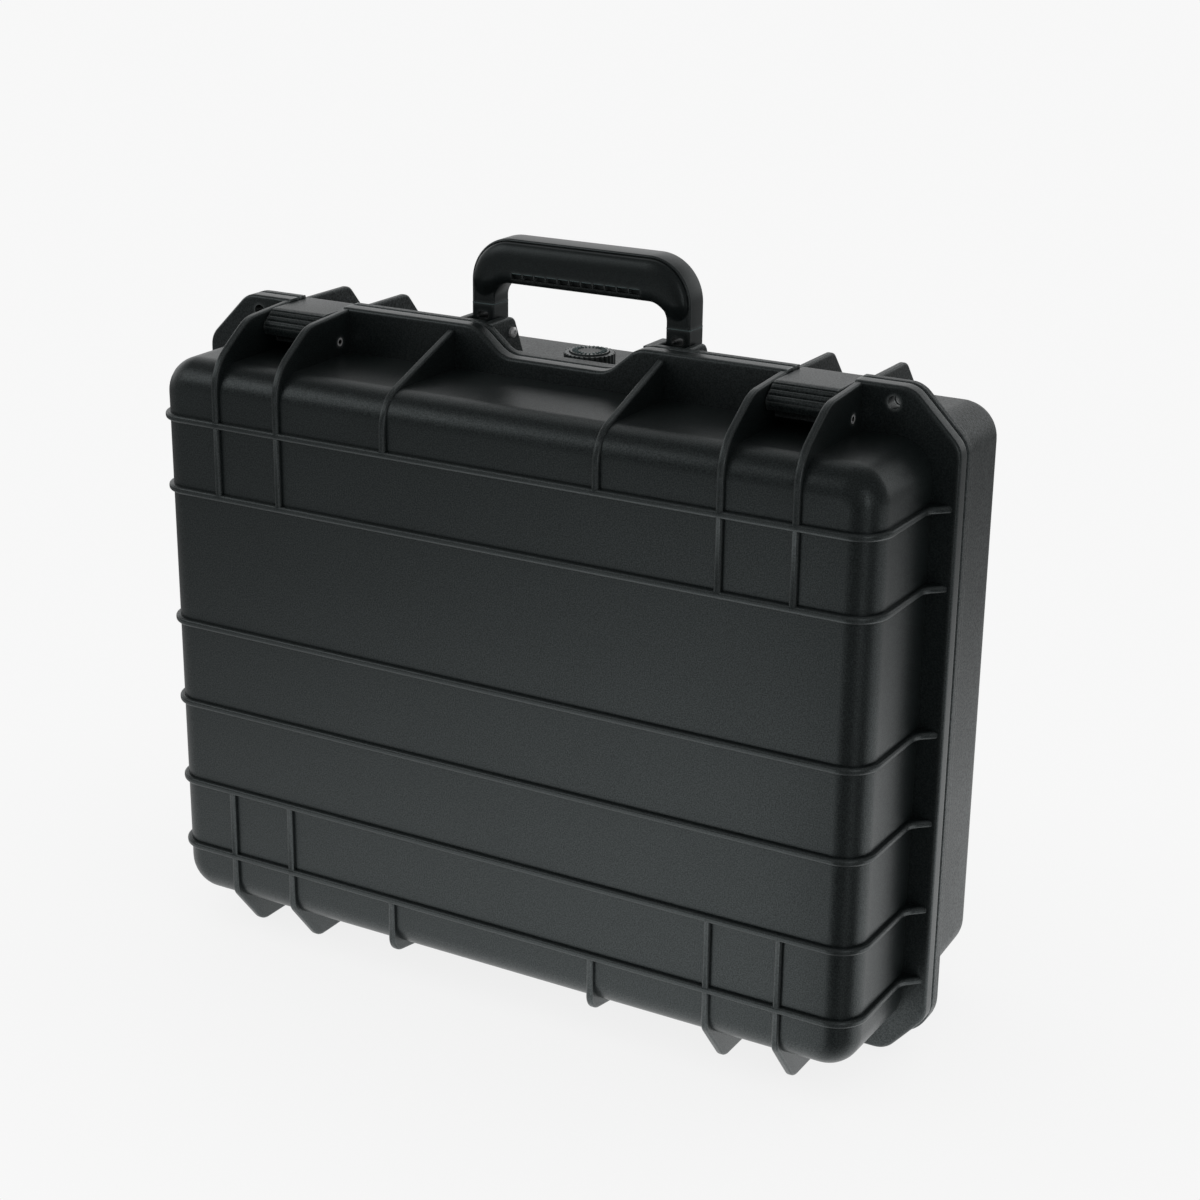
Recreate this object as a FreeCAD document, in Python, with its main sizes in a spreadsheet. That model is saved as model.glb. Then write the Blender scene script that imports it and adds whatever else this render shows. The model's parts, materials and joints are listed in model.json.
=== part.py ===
import FreeCAD, Part
import os
import re
import Sketcher

# A moulded hard case, closed and standing on its hinge side.
# X runs along the case, Y from the lid in front to the base behind, Z up from the feet.
# Lengths are millimetres, angles are degrees.
SIZES = {
    # whole case
    "case_width": 464,
    "lid_depth": 78,
    "base_depth": 98,
    "flange_top": 370.6,
    "flange_bottom": 3.4,
    "parting_gap": 0.8,
    "overrun": 2,
    "running_gap": 0.05,
    # flange outline
    "lid_flange": 9.6,
    "base_flange": 5.8,
    "top_chamfer": 27.5,
    "bottom_chamfer": 22,
    "bottom_rise": 25,
    "flange_round": 14,
    "flange_edge": 1,
    "flange_lip": 2,
    "dip_top_half": 50,
    "dip_bottom_half": 32,
    "dip_depth": 15.2,
    "dip_round": 16,
    # walls of both halves
    "wall_inset": 14,
    "wall_drop": 25.1,
    "wall_rise": 16.1,
    "wall": 3,
    "corner_round": 20,
    "edge_round": 16,
    "lid_draft": 0.5,
    "base_draft": 1.5,
    # rim round the mouth of the base
    "rim_depth": 12.6,
    "rim_inset": 1.5,
    "rim_drop": 16,
    "rim_rise": 6.2,
    "rim_round": 22,
    # wrap ribs of the lid
    "rib_width": 4,
    "rib_height": 2.6,
    "rib_edge": 1.5,
    "flare_inset": 3,
    "flare_length": 8,
    "flare_round": 10,
    "first_rib_drop": 33.5,
    "second_rib_drop": 75,
    "third_rib_rise": 172.1,
    "fourth_rib_rise": 122.6,
    "fifth_rib_rise": 72.8,
    "sixth_rib_rise": 31.3,
    # upright ribs of the lid and fins of the base
    "upright_width": 4,
    "upright_height": 2.4,
    "upright_edge": 1.2,
    "upright_inset": 42.1,
    "latch_spacing": 41.1,
    "middle_upright": 64.8,
    "upright_drop": 0.5,
    "brow_reach": 46.3,
    "brow_fall": 3.4,
    "brow_round": 22,
    "nose_fall": 25.5,
    "nose_round": 28,
    "foot_reach": 55.3,
    "foot_round": 11,
    "heel_rise": 28,
    "heel_round": 10,
    "gusset_drop": 2,
    "gusset_fall": 29.8,
    "gusset_round": 22,
    "gusset_foot": 6.5,
    "gusset_heel": 18.5,
    "fin_drop": 2.3,
    "fin_reach": 49,
    "fin_toe": 72,
    "fin_round": 8,
    "base_foot_reach": 72,
    "base_foot_toe": 89,
    "base_foot_rise": 25,
    # seal between lid and base
    "groove_offset": 4,
    "groove_width": 5,
    "groove_depth": 5,
    "seal_play": 0.3,
    "seal_thickness": 3,
    "tongue_play": 0.8,
    # hinge at the bottom
    "hinge_rise": 1,
    "knuckle_radius": 4,
    "knuckle_length": 7,
    "knuckle_gap": 0.3,
    "knuckle_play": 0.4,
    "hinge_pin_radius": 1.75,
    # padlock eyes
    "eye_inset": 36.7,
    "eye_drop": 8.8,
    "eye_radius": 3.4,
    # latches
    "latch_drop": 1.6,
    "latch_play": 0.5,
    "latch_bay_depth": 14,
    "latch_pivot_y": 19,
    "latch_pivot_drop": 17.4,
    "latch_knuckle": 5.6,
    "latch_pin_radius": 2,
    "latch_plate": 7,
    "latch_heel": 2.5,
    "latch_back": 9,
    "latch_back_round": 7,
    "latch_flat": 26.5,
    "latch_brow_round": 9,
    "latch_nose": 36,
    "latch_nose_drop": 8,
    "latch_nose_round": 4,
    "latch_lip": 34,
    "latch_lip_drop": 13.5,
    "latch_lip_round": 1.2,
    "latch_claw": 24,
    "latch_claw_drop": 18.8,
    "latch_claw_gap": 0.4,
    "latch_inner_round": 3,
    "latch_edge": 0.8,
    "grip_groove": 1.6,
    "grip_groove_fall": 2.35,
    "grip_groove_width": 1.3,
    "grip_groove_pitch": 2.7,
    "catch_y": 18.5,
    "catch_drop": 16,
    "catch_radius": 2.4,
    "catch_bore": 1.4,
    # carrying handle
    "handle_y": 24,
    "handle_drop": 9.6,
    "leg_inner": 53.6,
    "leg_outer": 67.8,
    "leg_half_depth": 7.8,
    "leg_foot_round": 7.2,
    "leg_edge": 1,
    "seam_rise": 16,
    "grip_rise": 53.5,
    "grip_height": 24.5,
    "grip_outer_round": 25,
    "grip_inner_round": 10,
    "grip_edge": 1.2,
    "bulge_inset": 1.6,
    "bulge_half_depth": 12.4,
    "bulge_edge": 4.6,
    "bulge_rise": 2.5,
    "core_inset": 3.6,
    "core_half_depth": 4,
    "notch_width": 6.2,
    "notch_height": 3,
    "notch_depth": 1.5,
    "notch_pitch": 7.3,
    "notch_drop": 2.2,
    "slot_width": 7,
    "slot_height": 3.8,
    "slot_depth": 3,
    "slot_rise": 9.6,
    "ear_play": 0.4,
    "inner_ear": 6.4,
    "outer_ear": 4.2,
    "ear_drop": 1.2,
    "ear_reach": 27,
    "ear_toe": 39,
    "ear_round": 6,
    "handle_pin_radius": 2.5,
    "handle_pin_head": 3,
    "handle_pin_head_length": 1.2,
    # pressure valve
    "valve_y": 29,
    "boss_radius": 16.5,
    "boss_rise": 0.8,
    "boss_sink": 1.2,
    "valve_washer_inner": 8.4,
    "valve_washer_outer": 12,
    "valve_washer": 1,
    "valve_collar": 12.5,
    "valve_collar_height": 2,
    "valve_spigot": 9,
    "valve_spigot_height": 2.7,
    "valve_stem": 8,
    "valve_bore": 4,
    "membrane_radius": 6.3,
    "membrane_thickness": 0.6,
    "membrane_depth": 1.2,
    "nut_radius": 13,
    "nut_height": 5,
    "knob_radius": 14.2,
    "knob_skirt": 12.9,
    "knob_play": 0.3,
    "knob_lift": 0.5,
    "knob_rim_top": 2.6,
    "knob_disc_radius": 10.6,
    "knob_ring_inner": 11.4,
    "knob_disc_top": 3.4,
    "knob_groove": 1,
    "knurl_width": 1.4,
    "knurl_depth": 1,
    "tick_width": 1,
    "tick_inner": 7.4,
    "tick_length": 2.4,
    "tick_depth": 0.8,
}

# Values worked out from the sizes above.
WORKED_OUT = {
    "half_case": "case_width / 2",
    "half_wall": "half_case - wall_inset",
    "wall_top": "flange_top - wall_drop",
    "wall_bottom": "flange_bottom + wall_rise",
    "half_rim": "half_case - rim_inset",
    "rim_top": "flange_top - rim_drop",
    "rim_bottom": "flange_bottom + rim_rise",
    "first_rib": "wall_top - first_rib_drop",
    "second_rib": "wall_top - second_rib_drop",
    "third_rib": "wall_bottom + third_rib_rise",
    "fourth_rib": "wall_bottom + fourth_rib_rise",
    "fifth_rib": "wall_bottom + fifth_rib_rise",
    "sixth_rib": "wall_bottom + sixth_rib_rise",
    "outer_upright": "half_wall - upright_inset",
    "inner_upright": "outer_upright - latch_spacing",
    "eye_x": "half_case - eye_inset",
    "eye_z": "flange_top - eye_drop",
    "latch_top": "flange_top - latch_drop",
    "latch_bay_floor": "flange_top - latch_bay_depth",
    "latch_pivot_z": "latch_top - latch_pivot_drop",
    "catch_z": "latch_top - catch_drop",
    "handle_z": "flange_top - handle_drop",
    "seam_z": "handle_z + seam_rise",
    "grip_top": "handle_z + grip_rise",
    "grip_bottom": "grip_top - grip_height",
    "bulge_foot": "seam_z + bulge_rise",
    "slot_z": "handle_z + slot_rise",
    "parting": "(lid_depth - base_depth) / 2",
    "lid_rim": "parting - parting_gap",
    "base_rim": "parting + parting_gap",
    "lid_flange_face": "parting - lid_flange",
    "lid_flange_mid": "(lid_rim + lid_flange_face) / 2",
    "base_flange_face": "parting + base_flange",
    "base_flange_mid": "(base_rim + base_flange_face) / 2",
    "lid_face": "parting - lid_depth",
    "lid_wall_depth": "lid_depth - rib_height - parting_gap",
    "lid_wall_front": "lid_face + rib_height",
    "upright_face": "lid_wall_front - upright_height",
    "lid_lean": "lid_wall_depth * tan(lid_draft)",
    "base_wall_depth": "base_depth - parting_gap",
    "half_upright": "upright_width / 2",
    "bay_inner": "inner_upright + half_upright",
    "bay_outer": "outer_upright - half_upright",
    "bay_middle": "(bay_inner + bay_outer) / 2",
    "hinge_z": "flange_bottom + hinge_rise",
    "catch_line": "parting - catch_y",
    "latch_line": "parting + latch_pivot_y",
    "latch_inside": "catch_line - catch_radius - latch_claw_gap",
    "handle_line": "parting + handle_y",
    "valve_line": "parting + valve_y",
    "boss_top": "wall_top + boss_rise",
    "boss_floor": "wall_top - wall - boss_sink",
    "washer_top": "boss_top + valve_washer",
    "collar_top": "washer_top + valve_collar_height",
    "spigot_top": "collar_top + valve_spigot_height",
    "knob_floor": "boss_top + knob_lift",
    "knob_ceiling": "spigot_top + knob_play",
    "knob_rim": "knob_ceiling + knob_rim_top",
    "knob_top": "knob_ceiling + knob_disc_top",
}

SIDES = (("left", "-1"), ("right", "1"))
WRAP_RIBS = ("first_rib", "second_rib", "third_rib", "fourth_rib", "fifth_rib", "sixth_rib")
KNUCKLES = 5
NOTCHES = 11
GRIP_GROOVES = 4
KNURLS = 30
NUT_SIDES = 6
TICKS = 24
FULL_TURN = 360
QUARTER_TURN = 90
NEAR = 1e-4

doc = FreeCAD.newDocument("hard_case")
sheet = doc.addObject("Spreadsheet::Sheet", "sizes")
for row, (alias, number) in enumerate(SIZES.items(), start=1):
    sheet.set("A%d" % row, alias)
    sheet.set("B%d" % row, str(number))
    sheet.setAlias("B%d" % row, alias)
doc.recompute()

# Planes to sketch on: the origin plane's role, its world axis and the way its normal points along that axis.
PLANES = {"XY": ("XY_Plane", 2, 1), "XZ": ("XZ_Plane", 1, -1), "YZ": ("YZ_Plane", 0, 1)}


def formula(text):
    """The text with each named size turned into its sheet cell or its worked-out formula."""
    def swap(match):
        name = match.group(0)
        if name in SIZES:
            return "sizes." + name
        if name in WORKED_OUT:
            return "(" + formula(WORKED_OUT[name]) + ")"
        return name
    return re.sub(r"[a-z][a-z_]+", swap, text)


def size(text):
    """The number that a formula comes to."""
    return float(sheet.evalExpression(formula(text)))


def mirrored(half):
    """A closed outline from its right half, listed from bottom to top."""
    return half + [("-(%s)" % corner[0],) + tuple(corner[1:]) for corner in reversed(half)]


def box_outline(left, right, low, high, rounding=None):
    """A rectangle's four corners, rounded alike if a radius is named."""
    corners = [(left, low), (right, low), (right, high), (left, high)]
    return [corner + (rounding,) for corner in corners] if rounding else corners


def draw(body, plane, at, corners):
    """A sketch of straight edges through corners whose places are bound to the sheet."""
    role, _, normal = PLANES[plane]
    sketch = body.newObject("Sketcher::SketchObject", body.Name + "_sketch")
    origin_plane = next(feature for feature in body.Origin.OriginFeatures if feature.Role == role)
    sketch.AttachmentSupport = (origin_plane, [""])
    sketch.MapMode = "FlatFace"
    sketch.setExpression("AttachmentOffset.Base.z", formula(at if normal > 0 else "-(%s)" % at))
    spots = [FreeCAD.Vector(size(corner[0]), size(corner[1]), 0) for corner in corners]
    for spot, following in zip(spots, spots[1:] + spots[:1]):
        sketch.addGeometry(Part.LineSegment(spot, following))
    for edge in range(len(spots)):
        sketch.addConstraint(Sketcher.Constraint("Coincident", edge, 2, (edge + 1) % len(spots), 1))
    for edge, corner in enumerate(corners):
        for kind, place in zip(("DistanceX", "DistanceY"), corner):
            row = sketch.addConstraint(Sketcher.Constraint(kind, -1, 1, edge, 1, size(place)))
            sketch.setExpression("Constraints[%d]" % row, formula(place))
    return sketch


def round_edges(body, radius, chosen):
    """A fillet on the edges of the body's newest feature that the test picks."""
    doc.recompute()
    feature = body.Tip
    names = ["Edge%d" % (i + 1) for i, edge in enumerate(feature.Shape.Edges) if chosen(edge)]
    fillet = body.newObject("PartDesign::Fillet", body.Name + "_round")
    fillet.Base = (feature, names)
    fillet.setExpression("Radius", formula(radius))
    body.Tip = fillet


def world_corner(plane, at, corner):
    """The place in space of an outline's corner."""
    first, second, level = size(corner[0]), size(corner[1]), size(at)
    places = {"XY": (first, second, level), "XZ": (first, level, second), "YZ": (level, first, second)}
    return FreeCAD.Vector(*places[plane])


def extruded(name, plane, at, corners, length, toward=1, taper=None, near=None, far=None):
    """A body padded from an outline. A corner's third entry is its rounding.
    near and far round the two rims."""
    _, axis, normal = PLANES[plane]
    body = doc.addObject("PartDesign::Body", name)
    sketch = draw(body, plane, at, corners)
    pad = body.newObject("PartDesign::Pad", name + "_pad")
    pad.Profile = sketch
    pad.Reversed = toward != normal
    pad.setExpression("Length", formula(length))
    if taper:
        pad.setExpression("TaperAngle", formula("-(%s)" % taper))
    body.Tip = pad
    start = size(at)
    end = start + toward * size(length)
    for radius in dict.fromkeys(corner[2] for corner in corners if len(corner) > 2):
        spots = [world_corner(plane, at, corner) for corner in corners if corner[2:] == (radius,)]
        round_edges(body, radius, lambda edge: leaves_from(edge, spots, axis))
    for radius, level in ((near, start), (far, end)):
        if radius:
            round_edges(body, radius, lambda edge: lies_at(edge, axis, level))
    return body


def leaves_from(edge, spots, axis):
    """True if the edge starts at one of the spots and leaves the plane across the axis."""
    ends = [vertex.Point for vertex in edge.Vertexes]
    if len(ends) < 2 or abs(ends[0][axis] - ends[1][axis]) < NEAR:
        return False
    return any(end.distanceToPoint(spot) < NEAR for end in ends for spot in spots)


def lies_at(edge, axis, level):
    """True if the whole edge lies at one level along the axis."""
    box = edge.BoundBox
    low, high = ((box.XMin, box.XMax), (box.YMin, box.YMax), (box.ZMin, box.ZMax))[axis]
    return abs(low - level) < NEAR and abs(high - level) < NEAR


def rod(name, axis, centre, radius, length):
    """A cylinder along an axis from its first end's centre."""
    turns = {"X": ((0, 1, 0), QUARTER_TURN), "Y": ((1, 0, 0), -QUARTER_TURN), "Z": ((0, 0, 1), 0)}
    cylinder = doc.addObject("Part::Cylinder", name)
    direction, angle = turns[axis]
    rotation = FreeCAD.Rotation(FreeCAD.Vector(*direction), angle)
    cylinder.Placement = FreeCAD.Placement(FreeCAD.Vector(), rotation)
    for letter, place in zip("xyz", centre):
        cylinder.setExpression("Placement.Base." + letter, formula(place))
    cylinder.setExpression("Radius", formula(radius))
    cylinder.setExpression("Height", formula(length))
    return cylinder


def block(name, corner, extent):
    """A box from its lowest corner."""
    box = doc.addObject("Part::Box", name)
    for letter, place in zip("xyz", corner):
        box.setExpression("Placement.Base." + letter, formula(place))
    for side, length in zip(("Length", "Width", "Height"), extent):
        box.setExpression(side, formula(length))
    return box


def joined(name, pieces):
    """One solid from overlapping pieces."""
    if len(pieces) == 1:
        return pieces[0]
    fuse = doc.addObject("Part::MultiFuse", name)
    fuse.Shapes = pieces
    fuse.Refine = True
    return fuse


def cut(name, solid, tools):
    """The solid less all the tools."""
    result = doc.addObject("Part::Cut", name)
    result.Base = solid
    result.Tool = joined(name + "_tools", tools)
    result.Refine = True
    return result


def revolved(name, centre_y, profile):
    """A body turned about the upright axis at x = 0, y = centre_y, from radius and height corners."""
    body = doc.addObject("PartDesign::Body", name)
    sketch = draw(body, "XZ", "0", profile)
    turn = body.newObject("PartDesign::Revolution", name + "_turn")
    turn.Profile = sketch
    turn.ReferenceAxis = (sketch, ["V_Axis"])
    turn.Angle = FULL_TURN
    body.Tip = turn
    body.setExpression("Placement.Base.y", formula(centre_y))
    return body


# Outlines shared by the two halves.
FLANGE = mirrored([
    ("half_case - bottom_chamfer", "flange_bottom", "flange_round"),
    ("half_case", "flange_bottom + bottom_rise", "flange_round"),
    ("half_case", "flange_top - top_chamfer", "flange_round"),
    ("half_case - top_chamfer", "flange_top", "flange_round"),
    ("dip_top_half", "flange_top", "dip_round"),
    ("dip_bottom_half", "flange_top - dip_depth", "dip_round"),
])


def wall_outline(growth, rounding):
    """The wall's rectangle grown outwards by a formula."""
    reach = "half_wall + (%s)" % growth
    low, high = "wall_bottom - (%s)" % growth, "wall_top + (%s)" % growth
    return box_outline("-(%s)" % reach, reach, low, high, rounding)


def ring(name, inner, outer, at, depth, toward):
    """A flat ring round the mouth, between two growths of the cavity's outline."""
    hoops = []
    for word, growth in (("outer", outer), ("inner", inner)):
        rounding = "corner_round - wall + (%s)" % growth
        hoops.append(extruded(name + "_" + word, "XZ", at, wall_outline("(%s) - wall" % growth, rounding),
                              depth, toward))
    return cut(name, hoops[0], [hoops[1]])


def knuckle_start(side, number):
    """The lower X of one hinge knuckle."""
    pitch = "(knuckle_length + knuckle_gap)"
    return "%s * bay_middle - knuckle_length / 2 + (%d) * %s" % (side, number - KNUCKLES // 2, pitch)


def knuckles(name, side, first, radius, margin):
    """Every second hinge barrel, grown along its axis by a margin at each end."""
    return [rod("%s_%d" % (name, number), "X",
                ("%s - (%s)" % (knuckle_start(side, number), margin), "parting", "hinge_z"),
                radius, "knuckle_length + 2 * (%s)" % margin)
            for number in range(first, KNUCKLES, 2)]


def hinge_bore(name, side):
    """The hole for one hinge pin, right through its barrels."""
    return rod(name, "X", ("%s - overrun" % knuckle_start(side, 0), "parting", "hinge_z"),
               "hinge_pin_radius + running_gap",
               "%d * knuckle_length + %d * knuckle_gap + 2 * overrun" % (KNUCKLES, KNUCKLES - 1))


def bay(name, side, start, depth):
    """The opening in a flange between a pair of uprights, where the latch passes."""
    width = "(bay_outer - bay_inner)"
    return block(name, ("%s * bay_middle - %s / 2" % (side, width), start, "latch_bay_floor"),
                 (width, depth, "flange_top - latch_bay_floor + overrun"))


def cross_bore(name, side, line, height, radius):
    """A hole along X through both uprights of a pair."""
    reach = "(bay_outer - bay_inner) / 2 + upright_width + overrun"
    return rod(name, "X", ("%s * bay_middle - (%s)" % (side, reach), line, height),
               radius, "2 * (%s)" % reach)


def eye(name, side):
    """A padlock eye through both flanges."""
    return rod(name, "Y", ("%s * eye_x" % side, "parting - lid_flange - overrun", "eye_z"), "eye_radius",
               "lid_flange + base_flange + 2 * overrun")


def wrap_rib(name, height):
    """A rib that runs along one side of the lid, across its face and back along the other side."""
    outline = mirrored([
        ("half_case - flare_inset", "lid_flange_mid"),
        ("half_case - flare_inset", "lid_flange_face"),
        ("half_wall + rib_height", "lid_flange_face - flare_length", "flare_round"),
        ("half_wall + rib_height - lid_lean", "lid_face", "edge_round + rib_height"),
    ])
    return extruded(name, "XY", "%s - rib_width / 2" % height, outline, "rib_width",
                    near="rib_edge", far="rib_edge")


def upright(name, place, corners):
    """A thin rib across X with rounded edges."""
    return extruded(name, "YZ", "%s - half_upright" % place, corners, "upright_width",
                    near="upright_edge", far="upright_edge")


LATCH_UPRIGHT_TOP = [
    ("lid_flange_mid", "second_rib"),
    ("lid_flange_mid", "flange_top - upright_drop"),
    ("parting - brow_reach", "flange_top - brow_fall", "brow_round"),
    ("upright_face", "flange_top - nose_fall", "nose_round"),
    ("upright_face", "second_rib"),
]
LATCH_UPRIGHT_FOOT = [
    ("lid_flange_face", "0"),
    ("lid_flange_mid", "flange_bottom"),
    ("lid_flange_mid", "fifth_rib"),
    ("upright_face", "fifth_rib"),
    ("upright_face", "heel_rise", "heel_round"),
    ("parting - foot_reach", "0", "foot_round"),
]
GUSSET_TOP = [
    ("lid_flange_mid", "first_rib"),
    ("lid_flange_mid", "flange_top - gusset_drop"),
    ("upright_face", "flange_top - gusset_fall", "gusset_round"),
    ("upright_face", "first_rib"),
]
GUSSET_FOOT = [
    ("lid_flange_mid", "gusset_foot"),
    ("lid_flange_mid", "sixth_rib"),
    ("upright_face", "sixth_rib"),
    ("upright_face", "gusset_heel", "heel_round"),
]


def make_lid_shell():
    """The ribbed front half: walls, flange and ribs, hollowed and bored."""
    walls = extruded("lid_walls", "XZ", "lid_rim", wall_outline("0", "corner_round"), "lid_wall_depth", -1,
                     taper="lid_draft", far="edge_round")
    plate = extruded("lid_plate", "XZ", "lid_rim", FLANGE, "lid_flange - parting_gap", -1,
                     near="flange_edge", far="flange_lip")
    ribs = [wrap_rib("lid_" + height, height) for height in WRAP_RIBS]
    pieces = [joined("lid_plain", [walls, plate] + ribs)]
    tools = [extruded("lid_cavity", "XZ", "lid_rim", wall_outline("-wall", "corner_round - wall"),
                      "lid_wall_depth - wall", -1, taper="lid_draft", far="edge_round - wall"),
             ring("lid_groove", "groove_offset", "groove_offset + groove_width", "lid_rim",
                  "groove_depth", -1)]
    for word, side in SIDES:
        for place in ("outer_upright", "inner_upright"):
            spot = "%s * %s" % (side, place)
            pieces.append(upright("lid_%s_%s_top" % (place, word), spot, LATCH_UPRIGHT_TOP))
            pieces.append(upright("lid_%s_%s_foot" % (place, word), spot, LATCH_UPRIGHT_FOOT))
        pieces.append(upright("lid_gusset_top_" + word, side + " * middle_upright", GUSSET_TOP))
        pieces.append(upright("lid_gusset_foot_" + word, side + " * middle_upright", GUSSET_FOOT))
        pieces += knuckles("lid_knuckle_" + word, side, 1, "knuckle_radius", "0")
        tools.append(bay("lid_bay_" + word, side, "lid_flange_face - overrun", "lid_flange + overrun"))
        tools.append(eye("lid_eye_" + word, side))
        tools.append(cross_bore("lid_catch_bore_" + word, side, "catch_line", "catch_z",
                                "catch_radius + running_gap"))
        tools += knuckles("lid_relief_" + word, side, 0, "knuckle_radius + knuckle_play", "knuckle_gap")
        tools.append(hinge_bore("lid_hinge_bore_" + word, side))
    return cut("lid_shell", joined("lid_outside", pieces), tools)


def make_lid_seal():
    """The rubber ring on the floor of the lid's groove."""
    return ring("lid_seal", "groove_offset + seal_play", "groove_offset + groove_width - seal_play",
                "lid_rim - groove_depth", "seal_thickness", 1)


def fin(name, place, reach, toe, level, foot):
    """A fin of the base: flat along its edge, then sloping in to the wall."""
    corners = [
        ("base_flange_mid", foot),
        ("base_flange_mid", level),
        ("parting + %s" % reach, level, "fin_round"),
        ("parting + %s" % toe, foot),
    ]
    return upright(name, place, corners)


def ear(name, low, width):
    """One cheek of the handle's clevis."""
    corners = [
        ("base_flange_mid", "wall_top - wall"),
        ("base_flange_mid", "flange_top - ear_drop"),
        ("parting + ear_reach", "flange_top - ear_drop", "ear_round"),
        ("parting + ear_toe", "wall_top - wall"),
    ]
    return extruded(name, "YZ", low, corners, width, near="upright_edge", far="upright_edge")


def ear_places(side):
    """Lower X and width of the inner and the outer ear on one side."""
    inner = ("leg_inner - ear_play - inner_ear", "inner_ear")
    outer = ("leg_outer + ear_play", "outer_ear")
    if side == "1":
        return (("inner",) + inner, ("outer",) + outer)
    return tuple((word, "-(%s) - %s" % (low, width), width)
                 for word, (low, width) in (("inner", inner), ("outer", outer)))


def make_base_shell():
    """The plain back half: walls, flange, rim, fins and ears, hollowed and bored."""
    walls = extruded("base_walls", "XZ", "base_rim", wall_outline("0", "corner_round"), "base_wall_depth", 1,
                     taper="base_draft", far="edge_round")
    plate = extruded("base_plate", "XZ", "base_rim", FLANGE, "base_flange - parting_gap", 1,
                     near="flange_edge", far="flange_edge")
    rim = extruded("base_rim_band", "XZ", "base_flange_mid",
                   box_outline("-half_rim", "half_rim", "rim_bottom", "rim_top", "rim_round"),
                   "parting + rim_depth - base_flange_mid", 1, far="flange_edge")
    pieces = [joined("base_plain", [walls, plate, rim])]
    for word, side in SIDES:
        for place in ("outer_upright", "inner_upright"):
            spot = "%s * %s" % (side, place)
            pieces.append(fin("base_fin_%s_%s" % (place, word), spot, "fin_reach", "fin_toe",
                              "flange_top - fin_drop", "wall_top - wall"))
            pieces.append(fin("base_foot_%s_%s" % (place, word), spot, "base_foot_reach", "base_foot_toe",
                              "0", "base_foot_rise"))
        for kind, low, width in ear_places(side):
            pieces.append(ear("base_%s_ear_%s" % (kind, word), low, width))
        pieces += knuckles("base_knuckle_" + word, side, 0, "knuckle_radius", "0")
    cavity = extruded("base_cavity", "XZ", "base_rim", wall_outline("-wall", "corner_round - wall"),
                      "base_wall_depth - wall", 1, taper="base_draft", far="edge_round - wall")
    hollow = cut("base_hollow", joined("base_outside", pieces), [cavity])
    tongue_reach = "flange_edge + 2 * parting_gap + groove_depth - seal_thickness - seal_play"
    tongue = ring("base_tongue", "groove_offset + tongue_play", "groove_offset + groove_width - tongue_play",
                  "base_rim + flange_edge", tongue_reach, -1)
    boss = rod("base_boss", "Z", ("0", "valve_line", "boss_floor"), "boss_radius", "boss_top - boss_floor")
    tools = [rod("base_valve_bore", "Z", ("0", "valve_line", "boss_floor - overrun"),
                 "valve_stem + running_gap", "boss_top - boss_floor + 2 * overrun")]
    for word, side in SIDES:
        tools.append(bay("base_bay_" + word, side, "base_rim - overrun", "rim_depth + overrun"))
        tools.append(eye("base_eye_" + word, side))
        tools.append(cross_bore("base_latch_bore_" + word, side, "latch_line", "latch_pivot_z",
                                "latch_pin_radius + running_gap"))
        tools += knuckles("base_relief_" + word, side, 1, "knuckle_radius + knuckle_play", "knuckle_gap")
        tools.append(hinge_bore("base_hinge_bore_" + word, side))
        tools.append(handle_bore("base_handle_bore_" + word, side))
    return cut("base_shell", joined("base_filled", [hollow, tongue, boss]), tools)


def handle_bore(name, side):
    """The hole for one handle pin through both ears and the leg."""
    middle = "(leg_inner + leg_outer) / 2"
    reach = "((leg_outer - leg_inner) / 2 + ear_play + inner_ear + overrun)"
    return rod(name, "X", ("%s * %s - %s" % (side, middle, reach), "handle_line", "handle_z"),
               "handle_pin_radius + running_gap", "2 * " + reach)


def make_latch(word, side):
    """A moulded lever: knuckle on its pin, flat plate, grooved nose and claw in front of the catch pin."""
    width = "(bay_outer - bay_inner - 2 * latch_play)"
    low = "%s * bay_middle - %s / 2" % (side, width)
    profile = [
        ("latch_line", "latch_pivot_z"),
        ("latch_line + latch_knuckle", "latch_pivot_z"),
        ("latch_line + latch_knuckle", "latch_pivot_z + latch_heel"),
        ("parting + latch_back", "latch_top", "latch_back_round"),
        ("parting - latch_flat", "latch_top", "latch_brow_round"),
        ("parting - latch_nose", "latch_top - latch_nose_drop", "latch_nose_round"),
        ("parting - latch_lip", "latch_top - latch_lip_drop", "latch_lip_round"),
        ("parting - latch_claw", "latch_top - latch_lip_drop"),
        ("parting - latch_claw", "latch_top - latch_claw_drop"),
        ("latch_inside", "latch_top - latch_claw_drop"),
        ("latch_inside", "latch_top - latch_plate", "latch_inner_round"),
        ("latch_line - latch_knuckle", "latch_top - latch_plate", "latch_inner_round"),
        ("latch_line - latch_knuckle", "latch_pivot_z"),
    ]
    lever = extruded("latch_lever_" + word, "YZ", low, profile, width, near="latch_edge", far="latch_edge")
    barrel = rod("latch_barrel_" + word, "X", (low, "latch_line", "latch_pivot_z"), "latch_knuckle", width)
    tools = [rod("latch_bore_" + word, "X", (low + " - overrun", "latch_line", "latch_pivot_z"),
                 "latch_pin_radius + running_gap", width + " + 2 * overrun")]
    for number in range(GRIP_GROOVES):
        front = "parting - latch_flat + grip_groove_width - %d * grip_groove_pitch" % (number + 1)
        floor = "latch_top - grip_groove - %d * grip_groove_fall" % number
        tools.append(block("latch_groove_%s_%d" % (word, number), (low + " - overrun", front, floor),
                           (width + " + 2 * overrun", "grip_groove_width", "latch_nose_drop + overrun")))
    return cut("latch_" + word, joined("latch_solid_" + word, [lever, barrel]), tools)


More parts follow.
